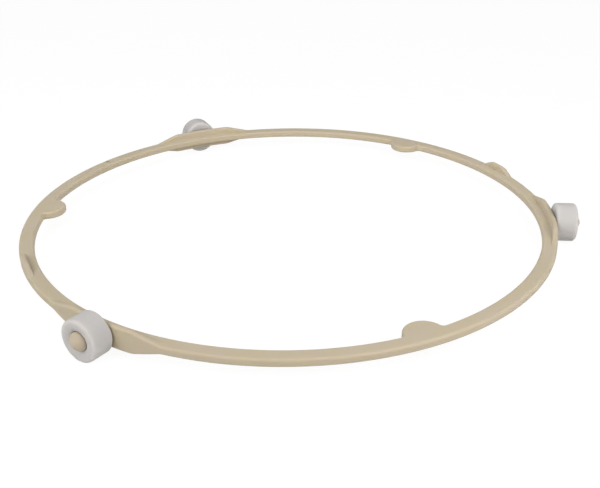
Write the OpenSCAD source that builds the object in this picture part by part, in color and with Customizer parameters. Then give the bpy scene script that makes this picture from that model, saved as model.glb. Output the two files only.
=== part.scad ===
// Roller ring that turns under the tray of a microwave oven
// A thin flat ring is moulded in one piece with three upright carrier walls on its rim.
// Each wall holds a short stub axle, and a white roller is snapped over the axle's domed head.
// Two low lips and three round tabs, all in the same moulding, keep the ring centred.
// The origin is the ring's centre at the height of the axles, and +Z points up at the tray.

/* [Ring] */
// Outer diameter of the flat ring
ring_d = 200; // [150:1:260]
// Radial width of the ring's band
band_w = 5.3; // [4.4:0.1:8]
// Thickness of the ring's band
band_t = 2.9; // [2:0.1:3.6]
// Rounding along the edges of the band and its tabs
band_edge_r = 0.75; // [0.3:0.05:0.9]
// How far the middle of the band lies below the axles
band_drop = 0.4; // [0:0.05:0.6]

/* [Carrier walls] */
// Thickness of each upright wall
wall_t = 2; // [1.2:0.1:2.8]
// Full height of the wall, half of it above the middle of the band and half below
wall_h = 8.2; // [6.6:0.1:10.4]
// Length of the wall at its full height
wall_crest_l = 25.4; // [16:0.2:34]
// Length of each ramp between that height and the band
wall_ramp_l = 10; // [6:0.5:15]
// Rounding of the shoulder between crest and ramp
wall_shoulder_r = 8; // [2:0.5:14]

/* [Lips] */
// Thickness of each low lip
lip_t = 2; // [1.2:0.1:2.8]
// Height of the lip's crest above the band
lip_rise = 2.4; // [1.5:0.1:4]
// Length of the lip at its full height
lip_crest_l = 8; // [5:0.2:14]
// Length of each ramp at the lip's ends
lip_ramp_l = 5; // [3:0.2:9]
// Rounding of the shoulder between crest and ramp
lip_shoulder_r = 6; // [2:0.5:8]

/* [Tabs] */
// Radius of each round tab's outline
tab_r = 6.8; // [5.5:0.1:9]
// How far the tab's tip stands in from the band
tab_reach = 6.3; // [4.5:0.1:8]
// Radius of the fillet where the tab's outline runs into the band
tab_fillet_r = 1.2; // [0.8:0.1:2.5]

/* [Axles] */
// Diameter of the stub axle
axle_d = 4.6; // [3.6:0.1:4.8]
// Diameter of the domed head that holds the roller on
head_d = 6.2; // [5.6:0.1:6.4]
// Length of the head's dome
dome_l = 2.5; // [1.6:0.1:3.4]
// Length of the straight band between the head's back and its dome
head_band_l = 0.5; // [0.3:0.1:0.9]
// Length of the cone behind the head that lets the roller snap over
snap_l = 0.4; // [0.2:0.1:0.7]

/* [Rollers] */
// Diameter of the tread
roller_d = 14.2; // [12.4:0.1:18]
// Width of the roller along its axle
roller_w = 7.8; // [6:0.1:10]
// Rounding of the tread's two edges
tread_edge_r = 0.9; // [0.4:0.05:1.3]
// Diameter of the recess around the axle's head
recess_d = 6.6; // [6.6:0.1:8]
// Depth of that recess
recess_l = 1.6; // [1.3:0.1:2.6]
// Rounding of the recess's mouth, which flares like a shallow bowl
mouth_edge_r = 1.2; // [0.4:0.05:1.2]
// Radial clearance between the axle and the roller's bore
bore_clear = 0.08; // [0.05:0.01:0.1]
// Bevel at both ends of the bore
bore_bevel = 0.3; // [0.1:0.05:0.5]
// Clearance between the roller and the wall behind it
side_play = 0.12; // [0.1:0.02:0.4]
// Clearance between the roller and the back of the head
head_play = 0.18; // [0.16:0.02:0.6]

/* [Hidden] */
$fn = 120;

// Two colours of plastic
ring_colour = "#c8bba2";
roller_colour = "#cbc8c6";

// Length that every cut and buried root runs past its surface
overrun = 0.4;

// The three rollers stand a third of a turn apart, the first one at +Y
roller_angles = [90, 210, 330];
// The tabs lie midway between the rollers, and the lips on the X axis
tab_angles = [30, 150, 270];
lip_angles = [0, 180];

ring_r = ring_d / 2;
band_in_r = ring_r - band_w;

// Steps in each round stretch of an outline
arc_steps = 8;
// Roundness of the head's dome: 2 is an ellipse, and less is more pointed
dome_power = 1.75;

axle_r = axle_d / 2;
head_r = head_d / 2;
bore_r = axle_r + bore_clear;
roller_r = roller_d / 2;
recess_r = recess_d / 2;
// Distances from the ring's axis, outward along an axle
roller_in = ring_r + side_play;
recess_floor = roller_in + roller_w - recess_l;
head_back = recess_floor + head_play;
head_front = head_back + snap_l + head_band_l;

// Flat outline with its four corners rounded, standing on the X axis
module rounded_rect(size, corner_r) {
    x = [corner_r, size.x - corner_r];
    y = [corner_r, size.y - corner_r];
    translate([corner_r, 0])
        square([size.x - 2 * corner_r, size.y]);
    translate([0, corner_r])
        square([size.x, size.y - 2 * corner_r]);
    for (cx = x, cy = y)
        translate([cx, cy])
            circle(r = corner_r);
}

// Points of a crest from left to right, at height top: ramp up, level stretch, ramp down
// Each ramp falls by rise over ramp_l, has a round shoulder, and runs on into the band by bury
function crest(crest_l, ramp_l, top, rise, shoulder_r, bury) =
    let (
        slope = atan(rise / ramp_l),
        // A shoulder never takes more than its half of the crest
        round_r = min(shoulder_r, 0.49 * crest_l / tan(slope / 2)),
        centre_x = crest_l / 2 - round_r * tan(slope / 2),
        right = concat(
            [for (i = [0 : arc_steps])
                let (a = slope * i / arc_steps)
                [centre_x + round_r * sin(a), top - round_r * (1 - cos(a))]],
            [[crest_l / 2 + (rise + bury) / tan(slope), top - rise - bury]]
        )
    )
    concat(mirrored(right), right);

// The same outline on the other side of the vertical axis, and below the horizontal one
function mirrored(points) = [for (i = [len(points) - 1 : -1 : 0]) [-points[i].x, points[i].y]];
function turned_down(points) = [for (p = points) [-p.x, -p.y]];

// Upright piece of the rim: a flat outline, drawn along the rim and upward, cut from a tube
module rim_piece(angle, thick, height) {
    intersection() {
        translate([0, 0, -height])
            rotate_extrude()
                translate([ring_r - thick, 0])
                    square([thick, 2 * height]);
        rotate(angle)
            translate([band_in_r, 0, 0])
                rotate([90, 0, 90])
                    linear_extrude(band_w + overrun)
                        children();
    }
}

// The flat ring, in the plane of its own middle
module band() {
    rotate_extrude()
        translate([band_in_r, -band_t / 2])
            rounded_rect([band_w, band_t], band_edge_r);
}

// Wall that carries an axle, flush with the band's outer face and as tall above as below
module carrier_wall(angle) {
    rise = (wall_h - band_t) / 2;
    top = crest(wall_crest_l, wall_ramp_l, wall_h / 2, rise, wall_shoulder_r, band_edge_r);
    rim_piece(angle, wall_t, wall_h)
        polygon(concat(top, turned_down(top)));
}

// Low lip that stands on the band's rim, on its upper side only
module lip(angle) {
    height = band_t / 2 + lip_rise;
    top = crest(lip_crest_l, lip_ramp_l, height, lip_rise, lip_shoulder_r, band_edge_r);
    end = top[len(top) - 1].x;
    rim_piece(angle, lip_t, height + overrun)
        polygon(concat(top, [[end, 0], [-end, 0]]));
}

// Round tab on the band's inner side, its rim rounded like the band's edges
// A fillet fills each end of its root, as high as the straight part of the band's side
module tab(angle) {
    centre = band_in_r - tab_reach + tab_r;
    fillet_centre = band_in_r - tab_fillet_r;
    // The fillet touches the tab's round from outside and the band's inner edge from inside
    reach = tab_r + tab_fillet_r;
    spread = acos((pow(centre, 2) + pow(fillet_centre, 2) - pow(reach, 2)) / (2 * centre * fillet_centre));
    root_r = band_in_r + band_w / 2;
    fillet_h = band_t - 2 * band_edge_r;
    intersection() {
        rotate(angle) {
            translate([centre, 0, -band_t / 2])
                rotate_extrude()
                    intersection() {
                        translate([-tab_r, 0])
                            rounded_rect([2 * tab_r, band_t], band_edge_r);
                        square([tab_r, band_t]);
                    }
            for (side = [-1, 1])
                translate([0, 0, -fillet_h / 2])
                    difference() {
                        linear_extrude(fillet_h)
                            polygon([
                                [centre, 0],
                                fillet_centre * [cos(spread), side * sin(spread)],
                                root_r * [cos(spread), side * sin(spread)],
                                [root_r, 0]
                            ]);
                        rotate(side * spread)
                            translate([fillet_centre, 0, -overrun])
                                cylinder(r = tab_fillet_r, h = fillet_h + 2 * overrun);
                    }
        }
        translate([0, 0, -band_t])
            cylinder(r = root_r, h = 2 * band_t);
    }
}

// Stub axle with its domed snap head, drawn outward along +Z and turned along a radius
module axle(angle) {
    dome = [for (i = [0 : arc_steps])
        let (a = 90 * i / arc_steps)
        [head_r * pow(cos(a), 2 / dome_power), head_front + dome_l * pow(sin(a), 2 / dome_power)]];
    rotate(angle)
        rotate([0, 90, 0])
            rotate_extrude()
                polygon(concat(
                    [
                        [0, ring_r - wall_t / 2],
                        [axle_r, ring_r - wall_t / 2],
                        [axle_r, head_back],
                        [head_r, head_back + snap_l]
                    ],
                    dome
                ));
}

// Roller seen as a section through its axis: bore, rounded tread and recess for the head
module roller_section() {
    difference() {
        translate([0, roller_in])
            rounded_rect([roller_r, roller_w], tread_edge_r);
        translate([-overrun, roller_in - overrun])
            square([bore_r + overrun, roller_w + 2 * overrun]);
        translate([-overrun, recess_floor])
            square([recess_r + overrun, recess_l + overrun]);
        // Both ends of the bore are bevelled
        for (end = [roller_in, recess_floor])
            translate([0, end])
                polygon([
                    [-overrun, -bore_bevel - bore_r - overrun],
                    [bore_r + bore_bevel, 0],
                    [-overrun, bore_bevel + bore_r + overrun]
                ]);
        // The recess's mouth is rounded
        translate([recess_r, roller_in + roller_w - mouth_edge_r])
            difference() {
                translate([-overrun, 0])
                    square([mouth_edge_r + overrun, mouth_edge_r + overrun]);
                translate([mouth_edge_r, 0])
                    circle(r = mouth_edge_r);
            }
    }
}

module roller(index) {
    color(roller_colour)
        rotate(roller_angles[index])
            rotate([0, 90, 0])
                rotate_extrude()
                    roller_section();
}

module ring_frame() {
    color(ring_colour) {
        translate([0, 0, -band_drop]) {
            band();
            for (angle = roller_angles)
                carrier_wall(angle);
            for (angle = lip_angles)
                lip(angle);
            for (angle = tab_angles)
                tab(angle);
        }
        for (angle = roller_angles)
            axle(angle);
    }
}

module roller_1() {
    roller(0);
}

module roller_2() {
    roller(1);
}

module roller_3() {
    roller(2);
}

ring_frame();
roller_1();
roller_2();
roller_3();
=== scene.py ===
import math

import bmesh
import bpy
from mathutils import Euler, Matrix, Vector


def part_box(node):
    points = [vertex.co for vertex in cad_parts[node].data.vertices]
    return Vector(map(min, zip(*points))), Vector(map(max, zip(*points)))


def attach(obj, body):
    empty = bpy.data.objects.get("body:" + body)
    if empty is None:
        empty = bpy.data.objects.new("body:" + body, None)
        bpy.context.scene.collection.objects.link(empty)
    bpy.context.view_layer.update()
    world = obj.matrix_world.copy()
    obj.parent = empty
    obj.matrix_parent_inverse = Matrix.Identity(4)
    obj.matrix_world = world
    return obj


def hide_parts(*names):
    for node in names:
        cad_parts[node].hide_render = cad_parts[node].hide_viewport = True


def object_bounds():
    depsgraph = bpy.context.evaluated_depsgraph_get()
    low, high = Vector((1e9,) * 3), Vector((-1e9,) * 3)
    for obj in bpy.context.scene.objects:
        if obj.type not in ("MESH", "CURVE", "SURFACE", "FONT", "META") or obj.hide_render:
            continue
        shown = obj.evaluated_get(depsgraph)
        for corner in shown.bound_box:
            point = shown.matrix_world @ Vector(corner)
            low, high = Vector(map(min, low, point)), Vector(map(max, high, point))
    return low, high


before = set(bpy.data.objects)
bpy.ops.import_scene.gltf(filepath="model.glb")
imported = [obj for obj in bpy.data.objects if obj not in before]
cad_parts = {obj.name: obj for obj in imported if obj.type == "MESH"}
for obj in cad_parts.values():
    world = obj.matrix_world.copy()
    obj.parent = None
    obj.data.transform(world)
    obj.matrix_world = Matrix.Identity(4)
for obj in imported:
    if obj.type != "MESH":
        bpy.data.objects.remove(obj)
cad_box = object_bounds()

# The ring
# One moulding of heat-resistant beige polyester: a flat band with three upright walls that
# carry the axles, two low lips that steady the tray, and three round tabs on its inner side.
# Every edge is rounded, as the mould leaves it, and one small dent marks the broken-off runner.

MM = 0.001

ring_low, ring_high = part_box("ring_frame")
ring_r = (ring_high.x - ring_low.x) / 2
band_w = 5.3 * MM
band_t = 2.9 * MM
band_drop = 0.4 * MM
edge_r = 0.85 * MM

wall_t = 2 * MM
wall_rise = (ring_high.z - ring_low.z - band_t) / 2
wall_crest_l = 25.4 * MM
wall_ramp_l = 10 * MM
wall_shoulder_r = 8 * MM
wall_foot_r = 7 * MM
wall_angles = [90, 210, 330]

lip_rise = 2.4 * MM
lip_crest_l = 8 * MM
lip_ramp_l = 5 * MM
lip_shoulder_r = 6 * MM
lip_foot_r = 2 * MM
lip_angles = [0, 180]

tab_r = 6.8 * MM
tab_reach = 6.3 * MM
tab_fillet_r = 1.2 * MM
tab_angles = [30, 150, 270]

# The dent lies near the outer edge of the band's top. Its size is along, across and into it.
dent_angle = 120
dent_in = 1.6 * MM
dent_size = (1.3 * MM, 0.9 * MM, 0.3 * MM)

# The wall's inner face leans a little, so that it leaves the mould, and meets the band in a fillet
draft = 0.05 * MM
crease_r = 0.5 * MM
# A loop of vertices this far beside each rounding keeps the flat faces flat in the light
hold = 0.15 * MM
# Vertices that lie closer together than this are one
weld = hold / 100

band_in_r = ring_r - band_w
wall_in_r = ring_r - wall_t


def arc(centre, radius, first, last, steps=6):
    """Points of a round stretch about a centre, from one angle to another in degrees."""
    turns = [math.radians(first + (last - first) * i / steps) for i in range(steps + 1)]
    return [(centre[0] + radius * math.cos(t), centre[1] + radius * math.sin(t)) for t in turns]


def half_section():
    """Upper half of the ring's section, from its outer face to its inner one.

    Each point is a radius and a height on the plain band, the share of a wall's rise that
    lifts it, and its inset from the ring's inner outline, or None if it follows the outer one.
    """
    top = band_t / 2
    points = [(ring_r, top - edge_r - hold, 1, None)]
    points += [(r, z, 1, None) for r, z in arc((ring_r - edge_r, top - edge_r), edge_r, 0, 90)]
    crest = arc((wall_in_r + edge_r, -edge_r), edge_r, 90, 180)
    points += [(r, top, 1 + z / wall_rise, None) for r, z in crest]
    crease = arc((wall_in_r - draft - crease_r, crease_r), crease_r, 0, -90, steps=4)
    points += [(r, top, z / wall_rise, None) for r, z in crease]
    points += [(wall_in_r - draft - crease_r - hold, top, 0, None)]
    points += [(0, top, 0, edge_r + hold)]
    points += [(0, z, 0, inset) for inset, z in arc((edge_r, top - edge_r), edge_r, 90, 180)]
    points += [(0, top - edge_r - hold, 0, 0)]
    return points


def off_by(angle, middle):
    """Angle in radians, from -pi to pi, by which a direction is off a middle one in degrees."""
    return (angle - math.radians(middle) + math.pi) % (2 * math.pi) - math.pi


def crest_height(angle, middles, crest_l, ramp_l, rise, shoulder_r, foot_r):
    """Height of walls or lips over the band: level, round a shoulder, down, and round a foot."""
    off = min(abs(off_by(angle, middle)) for middle in middles)
    slope = math.atan2(rise, ramp_l)
    distance = ring_r * math.sin(min(off, math.pi / 2))
    bend = distance - crest_l / 2 + shoulder_r * math.tan(slope / 2)
    to_end = crest_l / 2 + ramp_l + foot_r * math.tan(slope / 2) - distance
    if bend <= 0:
        return rise
    if to_end <= 0:
        return 0
    if bend < shoulder_r * math.sin(slope):
        return rise - shoulder_r + math.sqrt(shoulder_r ** 2 - bend ** 2)
    if to_end < foot_r * math.sin(slope):
        return foot_r - math.sqrt(foot_r ** 2 - to_end ** 2)
    return rise - (distance - crest_l / 2) * math.tan(slope)


# A tab's outline is walked by its length, from the tip round its disc and through the fillet
tab_centre = band_in_r - tab_reach + tab_r
fillet_centre = band_in_r - tab_fillet_r
tab_spread = math.acos(
    (tab_centre ** 2 + fillet_centre ** 2 - (tab_r + tab_fillet_r) ** 2)
    / (2 * tab_centre * fillet_centre)
)
fillet_at = fillet_centre * Vector((math.cos(tab_spread), math.sin(tab_spread)))
tab_turn = math.atan2(fillet_at.y, tab_centre - fillet_at.x)
fillet_turn = tab_turn + tab_spread


def inner_outline(angle):
    """Point of the ring's inner outline for a station, and the way from it into the plastic."""
    outward = Vector((math.cos(angle), math.sin(angle)))
    middle = min(tab_angles, key=lambda tab: abs(off_by(angle, tab)))
    off = off_by(angle, middle)
    if abs(off) >= tab_spread:
        return band_in_r * outward, outward
    length = abs(off) / tab_spread * (tab_r * tab_turn + tab_fillet_r * fillet_turn)
    if length < tab_r * tab_turn:
        turn = length / tab_r
        into = Vector((math.cos(turn), -math.sin(turn)))
        point = Vector((tab_centre, 0)) - tab_r * into
    else:
        turn = (length - tab_r * tab_turn) / tab_fillet_r - tab_turn
        into = Vector((math.cos(turn), math.sin(turn)))
        point = fillet_at + tab_fillet_r * into
    if off < 0:
        point.y, into.y = -point.y, -into.y
    turned = Matrix.Rotation(math.radians(middle), 2)
    return turned @ point, turned @ into


# Features that need more than one station for each degree: where they are, how many degrees
# they reach to each side, and the stations that a degree gets
features = [
    (wall_angles, 14, 4), (lip_angles, 6, 4), (tab_angles, 5, 8), ([180 - dent_angle], 1, 16),
]


def stations_in(degree):
    """How many stations the degree that starts at this angle gets."""
    middle = math.radians(degree + 0.5)
    counts = [
        count for middles, reach, count in features
        if min(abs(off_by(middle, m)) for m in middles) < math.radians(reach)
    ]
    return max(counts, default=1)


dent_at = Vector((
    (ring_r - dent_in) * math.cos(math.radians(dent_angle)),
    (ring_r - dent_in) * math.sin(math.radians(dent_angle)),
    band_t / 2 - band_drop,
))


def dent(co):
    """Presses the band's top in around the dent's middle."""
    outward = Vector((dent_at.x, dent_at.y, 0)).normalized()
    off = co - dent_at
    along = off.dot(Vector((-outward.y, outward.x, 0))) / dent_size[0]
    across = math.hypot(off.dot(outward), off.z) / dent_size[1]
    near = 1 - math.hypot(along, across)
    if near > 0:
        co.z -= dent_size[2] * math.sin(near * math.pi / 2) ** 2


def finish_mesh(bm, name):
    """Makes a bmesh an object at the origin, with its faces smooth and outward."""
    bmesh.ops.recalc_face_normals(bm, faces=bm.faces)
    for face in bm.faces:
        face.smooth = True
    mesh = bpy.data.meshes.new(name)
    bm.to_mesh(mesh)
    bm.free()
    piece = bpy.data.objects.new(name, mesh)
    bpy.context.collection.objects.link(piece)
    return piece


def ring_moulding():
    """Spins half the ring from the tab at -Y to roller 1, shapes it, and mirrors it over X."""
    bm = bmesh.new()
    lift = bm.verts.layers.float.new("lift")
    inset = bm.verts.layers.float.new("inset")
    upper = half_section()
    lower = [(r, -z, -share, at) for r, z, share, at in reversed(upper)]
    section = []
    for r, z, share, at in upper + lower:
        # A point that follows the inner outline starts on the plain band's inner side
        vert = bm.verts.new((0, -(band_in_r + at if at is not None else r), z))
        vert[lift] = share
        vert[inset] = at if at is not None else -1
        section.append(vert)
    edges = [bm.edges.new((section[i - 1], section[i])) for i in range(len(section))]
    swept = section + edges
    for degree in range(-90, 90):
        turned = bmesh.ops.spin(
            bm, geom=swept, cent=(0, 0, 0), axis=(0, 0, 1),
            angle=math.radians(1), steps=stations_in(degree),
        )
        swept = turned["geom_last"]
    for vert in bm.verts:
        angle = math.atan2(vert.co.y, vert.co.x)
        if vert[inset] >= 0:
            point, into = inner_outline(angle)
            vert.co.xy = point + vert[inset] * into
        wall = crest_height(
            angle, wall_angles, wall_crest_l, wall_ramp_l, wall_rise, wall_shoulder_r, wall_foot_r
        )
        lip = crest_height(
            angle, lip_angles, lip_crest_l, lip_ramp_l, lip_rise, lip_shoulder_r, lip_foot_r
        )
        vert.co.z += vert[lift] * (max(wall, lip) if vert[lift] > 0 else wall) - band_drop
    bmesh.ops.mirror(
        bm, geom=bm.verts[:] + bm.edges[:] + bm.faces[:], axis="X", merge_dist=weld
    )
    for vert in bm.verts:
        dent(vert.co)
    return finish_mesh(bm, "ring_moulding")


ring = ring_moulding()
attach(ring, "ring")
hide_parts("ring_frame")


def linear(hex_colour):
    """An sRGB hex colour as linear red, green, blue and alpha."""
    parts = [int(hex_colour[i:i + 2], 16) / 255 for i in (0, 2, 4)]
    return [p / 12.92 if p <= 0.04045 else ((p + 0.055) / 1.055) ** 2.4 for p in parts] + [1]


def add(tree, kind, inputs=None, **settings):
    """Adds a node: settings are its own properties, inputs are values or sockets to link."""
    node = tree.nodes.new(kind)
    for name, value in settings.items():
        setattr(node, name, value)
    for name, value in (inputs or {}).items():
        if isinstance(value, bpy.types.NodeSocket):
            tree.links.new(value, node.inputs[name])
        else:
            node.inputs[name].default_value = value
    return node


def new_tree(holder):
    """Empties the node tree of a material or world, and returns it."""
    holder.use_nodes = True
    holder.node_tree.nodes.clear()
    return holder.node_tree


# Polyester filled with mineral and glass: nearly opaque, with a soft sheen. Its melt flows in
# faint warm and cool clouds, the filler shows as tiny specks, and the mould's skin has a grain.
# The real specks and grain are finer: both are drawn as coarse as they need to be to show.
cloud_size = 9 * MM
speck_size = 0.35 * MM
grain_size = 0.3 * MM
grain_depth = 0.003 * MM

polyester = bpy.data.materials.new("moulded_filled_polyester")
tree = new_tree(polyester)
place = add(tree, "ShaderNodeTexCoord").outputs["Object"]
clouds = add(tree, "ShaderNodeTexNoise", {"Vector": place, "Scale": 1 / cloud_size}).outputs["Fac"]
specks = add(tree, "ShaderNodeTexNoise", {"Vector": place, "Scale": 1 / speck_size}).outputs["Fac"]
grain = add(tree, "ShaderNodeTexNoise", {"Vector": place, "Scale": 1 / grain_size}).outputs["Fac"]
dent_off = add(
    tree, "ShaderNodeVectorMath", {0: place, 1: tuple(dent_at)}, operation="DISTANCE"
).outputs["Value"]
# Shares of the cooler tone, of the darker specks, and of the dark brown spot drawn over the dent's
# middle
cool = add(tree, "ShaderNodeMapRange", {"Value": clouds, "From Min": 0.35, "From Max": 0.65})
flecked = add(tree, "ShaderNodeMapRange", {
    "Value": specks, "From Min": 0.62, "From Max": 0.72, "To Max": 0.15,
})
darkened = add(tree, "ShaderNodeMapRange", {
    "Value": dent_off, "From Min": dent_size[2], "From Max": dent_size[0],
    "To Min": 0.5, "To Max": 0,
})
# A Mix node's two colours are its inputs 6 and 7, and the mixed one its output 2
plastic = add(tree, "ShaderNodeMix", {
    0: cool.outputs[0], 6: linear("c8bb9f"), 7: linear("c8baa4"),
}, data_type="RGBA")
plastic = add(tree, "ShaderNodeMix", {
    0: flecked.outputs[0], 6: plastic.outputs[2], 7: linear("a8977a"),
}, data_type="RGBA")
plastic = add(tree, "ShaderNodeMix", {
    0: darkened.outputs[0], 6: plastic.outputs[2], 7: linear("4a3f30"),
}, data_type="RGBA")
skin = add(tree, "ShaderNodeBump", {"Height": grain, "Strength": 1, "Distance": grain_depth})
dullness = add(tree, "ShaderNodeMapRange", {
    "Value": clouds, "From Min": 0.3, "From Max": 0.7, "To Min": 0.68, "To Max": 0.76,
})
shader = add(tree, "ShaderNodeBsdfPrincipled", {
    "Base Color": plastic.outputs[2],
    "Roughness": dullness.outputs[0],
    "IOR": 1.5,
    "Subsurface Weight": 1,
    "Subsurface Radius": (0.7 * MM, 0.65 * MM, 0.6 * MM),
    "Subsurface Scale": 1,
    "Normal": skin.outputs[0],
})
add(tree, "ShaderNodeOutputMaterial", {"Surface": shader.outputs[0]})
ring.data.materials.append(polyester)


# The axles
# A stub axle stands out of each wall in the same moulding. Its domed head is wider than the
# roller's bore, with a short cone behind it, over which the roller was pushed until it snapped.

axle_r = 2.3 * MM
head_r = 3.1 * MM
dome_l = 2.5 * MM
head_band_l = 0.5 * MM
snap_l = 0.4 * MM
# 2 is an ellipse, and less is more pointed
dome_power = 1.6

axle_tip = ring_high.y
head_front = axle_tip - dome_l
head_back = head_front - head_band_l - snap_l


def lathe(name, outline, angle, closed, steps=96):
    """Turns an outline of (radius, distance from the ring's centre) round the axle at an angle."""
    bm = bmesh.new()
    verts = [bm.verts.new((out, 0, radius)) for radius, out in outline]
    edges = [bm.edges.new(pair) for pair in zip(verts, verts[1:])]
    if closed:
        edges.append(bm.edges.new((verts[-1], verts[0])))
    bmesh.ops.spin(
        bm, geom=verts + edges, cent=(0, 0, 0), axis=(1, 0, 0),
        angle=2 * math.pi, steps=steps, use_merge=True,
    )
    bmesh.ops.remove_doubles(bm, verts=bm.verts, dist=weld)
    turn = Matrix.Rotation(math.radians(angle), 3, "Z")
    bmesh.ops.rotate(bm, verts=bm.verts, cent=(0, 0, 0), matrix=turn)
    return finish_mesh(bm, name)


def axle_outline(steps=20):
    root = ring_r - wall_t / 2
    outline = [(0, root), (axle_r, root), (axle_r, head_back), (head_r, head_back + snap_l)]
    for i in range(steps + 1):
        a = math.pi / 2 * i / steps
        radius = head_r * max(0, math.cos(a)) ** (2 / dome_power)
        outline.append((radius, head_front + dome_l * math.sin(a) ** (2 / dome_power)))
    return outline


for index, angle in enumerate(wall_angles, start=1):
    axle = lathe(f"axle_{index}", axle_outline(), angle, closed=False)
    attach(axle, "ring")
    axle.data.materials.append(polyester)


# The rollers
# White acetal, moulded in one piece each: a bore that runs on the axle, a tread with round
# edges, and a shallow bowl in the outer face that lets the axle's head sink in.

roller_low, roller_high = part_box("roller_1")
roller_r = (roller_high.z - roller_low.z) / 2
roller_in = roller_low.y
roller_out = roller_high.y
bore_r = 2.38 * MM
bore_bevel = 0.3 * MM
tread_edge_r = 0.9 * MM
bowl_r = 3.17 * MM
bowl_l = 1.6 * MM
dish_l = 1.05 * MM
floor_r = 0.3 * MM
# Steps in each rounding of the tread's edges, and in the dish of the face
edge_steps = 8
dish_steps = 16


def roller_outline():
    bowl_floor = roller_out - bowl_l
    outline = [(bore_r, roller_in + bore_bevel), (bore_r + bore_bevel, roller_in)]
    outline += [(roller_r - tread_edge_r - hold, roller_in)]
    outline += arc(
        (roller_r - tread_edge_r, roller_in + tread_edge_r), tread_edge_r, -90, 0, edge_steps
    )
    outline += [(roller_r, roller_in + tread_edge_r + hold)]
    outline += [(roller_r, roller_out - tread_edge_r - hold)]
    outline += arc(
        (roller_r - tread_edge_r, roller_out - tread_edge_r), tread_edge_r, 0, 90, edge_steps
    )
    # The face is dished: it falls ever more steeply from the tread's edge to the bowl
    face_w = roller_r - tread_edge_r - bowl_r
    for x, y in arc((0, 0), 1, 90, 180, dish_steps)[1:]:
        outline.append((bowl_r + face_w * (1 + x), roller_out - dish_l * (1 - y)))
    outline += arc((bowl_r - floor_r, bowl_floor + floor_r), floor_r, 0, -90, 4)
    outline += [(bore_r + bore_bevel, bowl_floor), (bore_r, bowl_floor - bore_bevel)]
    return outline


# Acetal is a milky white that light enters a few millimetres deep, so its shaded sides stay soft.
# The mould leaves a dull satin skin, with faint unevenness where the thick plastic shrank.
milk_size = 5 * MM
shrink_size = 2.5 * MM
shrink_depth = 0.012 * MM

acetal = bpy.data.materials.new("moulded_acetal")
tree = new_tree(acetal)
place = add(tree, "ShaderNodeTexCoord").outputs["Object"]
milk = add(tree, "ShaderNodeTexNoise", {"Vector": place, "Scale": 1 / milk_size}).outputs["Fac"]
shrink = add(
    tree, "ShaderNodeTexNoise", {"Vector": place, "Scale": 1 / shrink_size}
).outputs["Fac"]
grain = add(tree, "ShaderNodeTexNoise", {"Vector": place, "Scale": 1 / grain_size}).outputs["Fac"]
cool = add(tree, "ShaderNodeMapRange", {"Value": milk, "From Min": 0.35, "From Max": 0.65})
plastic = add(tree, "ShaderNodeMix", {
    0: cool.outputs[0], 6: linear("cac6c2"), 7: linear("c9c6c4"),
}, data_type="RGBA")
uneven = add(tree, "ShaderNodeBump", {"Height": shrink, "Strength": 1, "Distance": shrink_depth})
skin = add(tree, "ShaderNodeBump", {
    "Height": grain, "Strength": 1, "Distance": grain_depth / 2, "Normal": uneven.outputs[0],
})
dullness = add(tree, "ShaderNodeMapRange", {
    "Value": milk, "From Min": 0.3, "From Max": 0.7, "To Min": 0.66, "To Max": 0.74,
})
shader = add(tree, "ShaderNodeBsdfPrincipled", {
    "Base Color": plastic.outputs[2],
    "Roughness": dullness.outputs[0],
    "IOR": 1.48,
    "Subsurface Weight": 1,
    "Subsurface Radius": (4 * MM, 3.7 * MM, 3.4 * MM),
    "Subsurface Scale": 1,
    "Normal": skin.outputs[0],
})
add(tree, "ShaderNodeOutputMaterial", {"Surface": shader.outputs[0]})

for index, angle in enumerate(wall_angles, start=1):
    roller = lathe(f"roller_{index}_turned", roller_outline(), angle, closed=True, steps=128)
    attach(roller, f"roller_{index}")
    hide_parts(f"roller_{index}")
    roller.data.materials.append(acetal)


# The floor
# A plain pale sheet on which the rollers stand. A glow that only the camera's rays meet makes it
# white there without lighting the ring, and under the glow it keeps the ring's soft shadow.

bpy.context.scene.view_settings.view_transform = "Standard"

floor_size = 6
# Share of the glow in what the camera sees of the floor, and the glow's strength
glow_share = 0.84
glow_strength = 1.1

bm = bmesh.new()
bmesh.ops.create_grid(bm, x_segments=1, y_segments=1, size=floor_size / 2)
bmesh.ops.translate(bm, verts=bm.verts, vec=(0, 0, cad_box[0].z))
floor = finish_mesh(bm, "floor")

paper = bpy.data.materials.new("white_paper")
tree = new_tree(paper)
seen = add(tree, "ShaderNodeLightPath").outputs["Is Camera Ray"]
share = add(tree, "ShaderNodeMath", {0: seen, 1: glow_share}, operation="MULTIPLY")
lit = add(tree, "ShaderNodeBsdfDiffuse", {"Color": linear("dcdcdc")})
glow = add(tree, "ShaderNodeEmission", {"Color": (1, 1, 1, 1), "Strength": glow_strength})
mixed = add(tree, "ShaderNodeMixShader", {
    0: share.outputs[0], 1: lit.outputs[0], 2: glow.outputs[0],
})
add(tree, "ShaderNodeOutputMaterial", {"Surface": mixed.outputs[0]})
floor.data.materials.append(paper)


# The light
# A white room that is brightest overhead, and three soft boxes: the main one at the front left,
# a faint one low over the middle that lights the back of the ring, and one at the right front.

room_light = 0.6

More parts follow.
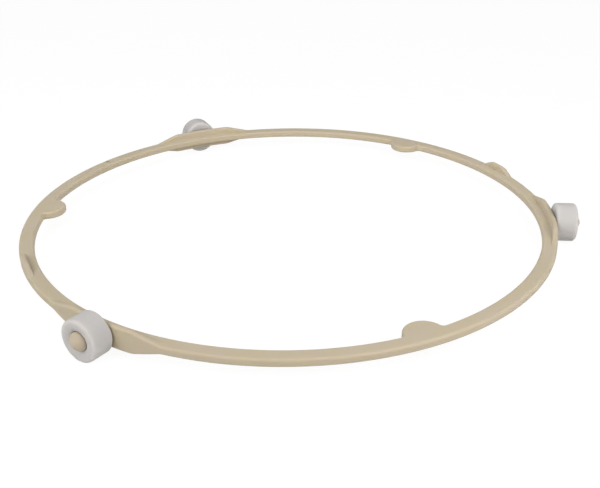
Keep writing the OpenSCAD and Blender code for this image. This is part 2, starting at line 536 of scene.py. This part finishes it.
world = bpy.data.worlds.new("white_room")
bpy.context.scene.world = world
tree = new_tree(world)
seen = add(tree, "ShaderNodeLightPath").outputs["Is Camera Ray"]
heading = add(tree, "ShaderNodeTexCoord").outputs["Generated"]
height = add(tree, "ShaderNodeSeparateXYZ", {"Vector": heading}).outputs["Z"]
overhead = add(tree, "ShaderNodeMapRange", {"Value": height, "To Max": room_light})
# The Mix node's two numbers are its inputs 2 and 3
strength = add(tree, "ShaderNodeMix", {0: seen, 2: overhead.outputs[0], 3: 1})
sky = add(tree, "ShaderNodeBackground", {"Color": (1, 1, 1, 1), "Strength": strength.outputs[0]})
add(tree, "ShaderNodeOutputWorld", {"Surface": sky.outputs[0]})

# Each box's side, power in watts, place, and the point that it is aimed at
soft_boxes = {
    "main_box": (400, 1.66, (-461, -171, 344), (0, 0, 0)),
    "middle_box": (140, 0.037, (0, 0, 70), (42, 91, 0)),
    "side_box": (200, 0.6, (110, -320, 190), (0, -80, 0)),
}
for name, (side, power, at, aim) in soft_boxes.items():
    lamp = bpy.data.lights.new(name, "AREA")
    lamp.shape = "SQUARE"
    lamp.size = side * MM
    lamp.energy = power
    soft_box = bpy.data.objects.new(name, lamp)
    soft_box.visible_camera = False
    soft_box.location = Vector(at) * MM
    soft_box.rotation_euler = (Vector(aim) - Vector(at)).to_track_quat("-Z", "Y").to_euler()
    bpy.context.collection.objects.link(soft_box)


# The camera
# It looks down on the ring from the side of the left front roller, as the photograph does.

camera_at = Vector((-124.5, -271.6, 136.5)) * MM
camera_turn = math.radians(-25.43)
camera_pitch = math.radians(26.54)
camera_roll = math.radians(-0.39)
sensor_w = 36
focal_l = 51.04

lens = bpy.data.cameras.new("camera")
lens.sensor_width = sensor_w
lens.lens = focal_l
lens.clip_start = 10 * MM
camera = bpy.data.objects.new("camera", lens)
look = Euler((math.pi / 2 - camera_pitch, 0, camera_turn)).to_matrix()
look = look @ Matrix.Rotation(camera_roll, 3, "Z")
camera.matrix_world = Matrix.Translation(camera_at) @ look.to_4x4()
bpy.context.collection.objects.link(camera)
bpy.context.scene.camera = camera
